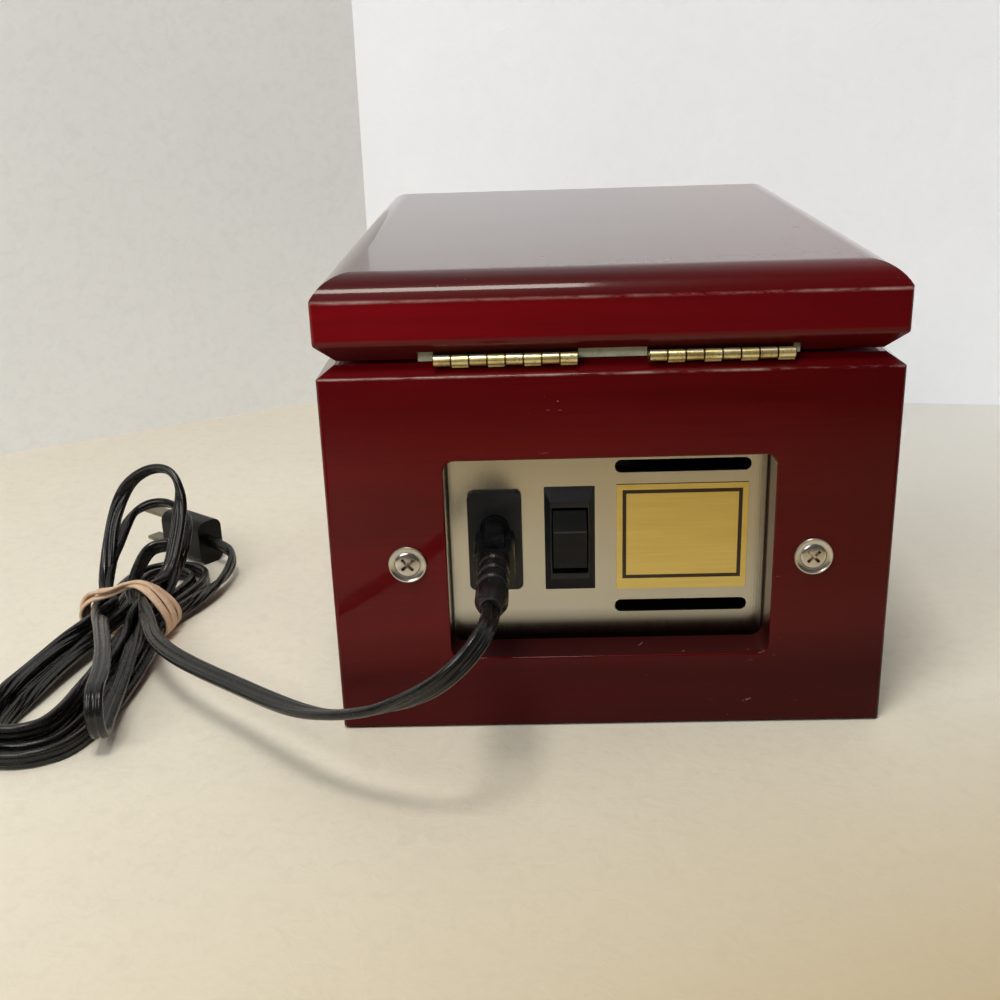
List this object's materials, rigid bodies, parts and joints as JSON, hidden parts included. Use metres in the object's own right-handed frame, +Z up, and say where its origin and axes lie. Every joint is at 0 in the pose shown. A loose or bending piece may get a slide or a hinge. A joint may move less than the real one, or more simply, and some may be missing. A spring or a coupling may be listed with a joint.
{
  "type": "watch winder box",
  "caption": "Lacquered box with a hinged lid and a motor-driven tilted cup that turns a watch; a rear steel plate carries the mains inlet, rocker switch and a tied cord.",
  "frame": {"origin": "middle of the underside of the felt pad that the box stands on", "axes": "+Z up, +Y towards the hinges and the mains inlet, +X to the right of someone facing the lid's opening edge"},
  "size_m": [0.2936, 0.2769, 0.1434],
  "materials": {
    "lacquered_wood": "deep burgundy gloss lacquer over wood",
    "plain_wood": "bare pale wood",
    "felt": "black felt",
    "lining_velvet": "black velvet over board",
    "foam": "dark foam",
    "hinge_brass": "worn brass",
    "grey_strip": "grey-green strip",
    "stainless_plate": "satin stainless sheet",
    "nickel": "satin nickel plate",
    "zinc_steel": "zinc-plated steel",
    "bush_bronze": "bare brass",
    "black_plastic": "moulded black plastic",
    "rocker_plastic": "satin black plastic",
    "gold_label": "brushed gold foil plate with a dark border",
    "cord_pvc": "ribbed black jacket",
    "wire_pvc": "black insulation",
    "tan_rubber": "tan rubber"
  },
  "bodies": {
    "case": {"base_back_wall": "lacquered_wood", "base_felt_pad": "felt", "base_floor_panel": "plain_wood", "base_front_wall": "lacquered_wood", "base_left_wall": "lacquered_wood", "base_right_wall": "lacquered_wood", "bracket_screws": "zinc_steel", "chassis_nuts": "zinc_steel", "chassis_plate": "stainless_plate", "cord_connector": "cord_pvc", "cord_hank": "cord_pvc", "cord_strain_relief": "cord_pvc", "deck_left_cleat": "plain_wood", "deck_panel": "lining_velvet", "deck_right_cleat": "plain_wood", "finishing_washers": "nickel", "hank_band": "tan_rubber", "hinge_base_screws": "hinge_brass", "hinge_left_base_leaf": "hinge_brass", "hinge_left_pin": "hinge_brass", "hinge_right_base_leaf": "hinge_brass", "hinge_right_pin": "hinge_brass", "inlet_motor_wire": "wire_pvc", "inlet_pins": "bush_bronze", "inlet_switch_wire": "wire_pvc", "label_plate": "gold_label", "mains_plug": "cord_pvc", "motor_bracket": "zinc_steel", "motor_can": "zinc_steel", "motor_gearbox": "zinc_steel", "motor_screws": "zinc_steel", "plug_blades": "bush_bronze", "power_cord": "cord_pvc", "power_inlet": "black_plastic", "rear_screws": "nickel", "rear_shelf": "lining_velvet", "shaft_bush": "bush_bronze", "shelf_left_cleat": "plain_wood", "shelf_right_cleat": "plain_wood", "switch_housing": "black_plastic", "switch_motor_wire": "wire_pvc", "switch_terminals": "bush_bronze"},
    "lid": {"lid_shell": "lacquered_wood", "lid_lining": "lining_velvet", "hinge_left_lid_leaf": "hinge_brass", "hinge_right_lid_leaf": "hinge_brass", "hinge_lid_screws": "hinge_brass", "hinge_gap_strip": "grey_strip"},
    "cup": {"cup_shell": "black_plastic", "cup_insert": "foam", "cup_shaft": "zinc_steel"},
    "cushion": {"watch_cushion": "lining_velvet"},
    "rocker": {"switch_rocker": "rocker_plastic"}
  },
  "joints": [
    {"name": "lid_hinge", "type": "hinge", "parent": "case", "child": "lid", "pos_m": [0, 0.1073, 0.11875], "axis": [-1, 0, 0], "range_deg": [0, 95]},
    {"name": "cup_spin", "type": "hinge", "parent": "case", "child": "cup", "pos_m": [0, -0.025, 0.08359], "axis": [0, -0.7071, 0.7071], "continuous": true},
    {"name": "cushion_slide", "type": "slide", "parent": "cup", "child": "cushion", "axis": [0, -0.7071, 0.7071], "range_m": [0, 0.017]},
    {"name": "switch_rocker", "type": "hinge", "parent": "case", "child": "rocker", "pos_m": [0.0115, 0.094, 0.0587], "axis": [-1, 0, 0], "range_deg": [0, 20]}
  ]
}
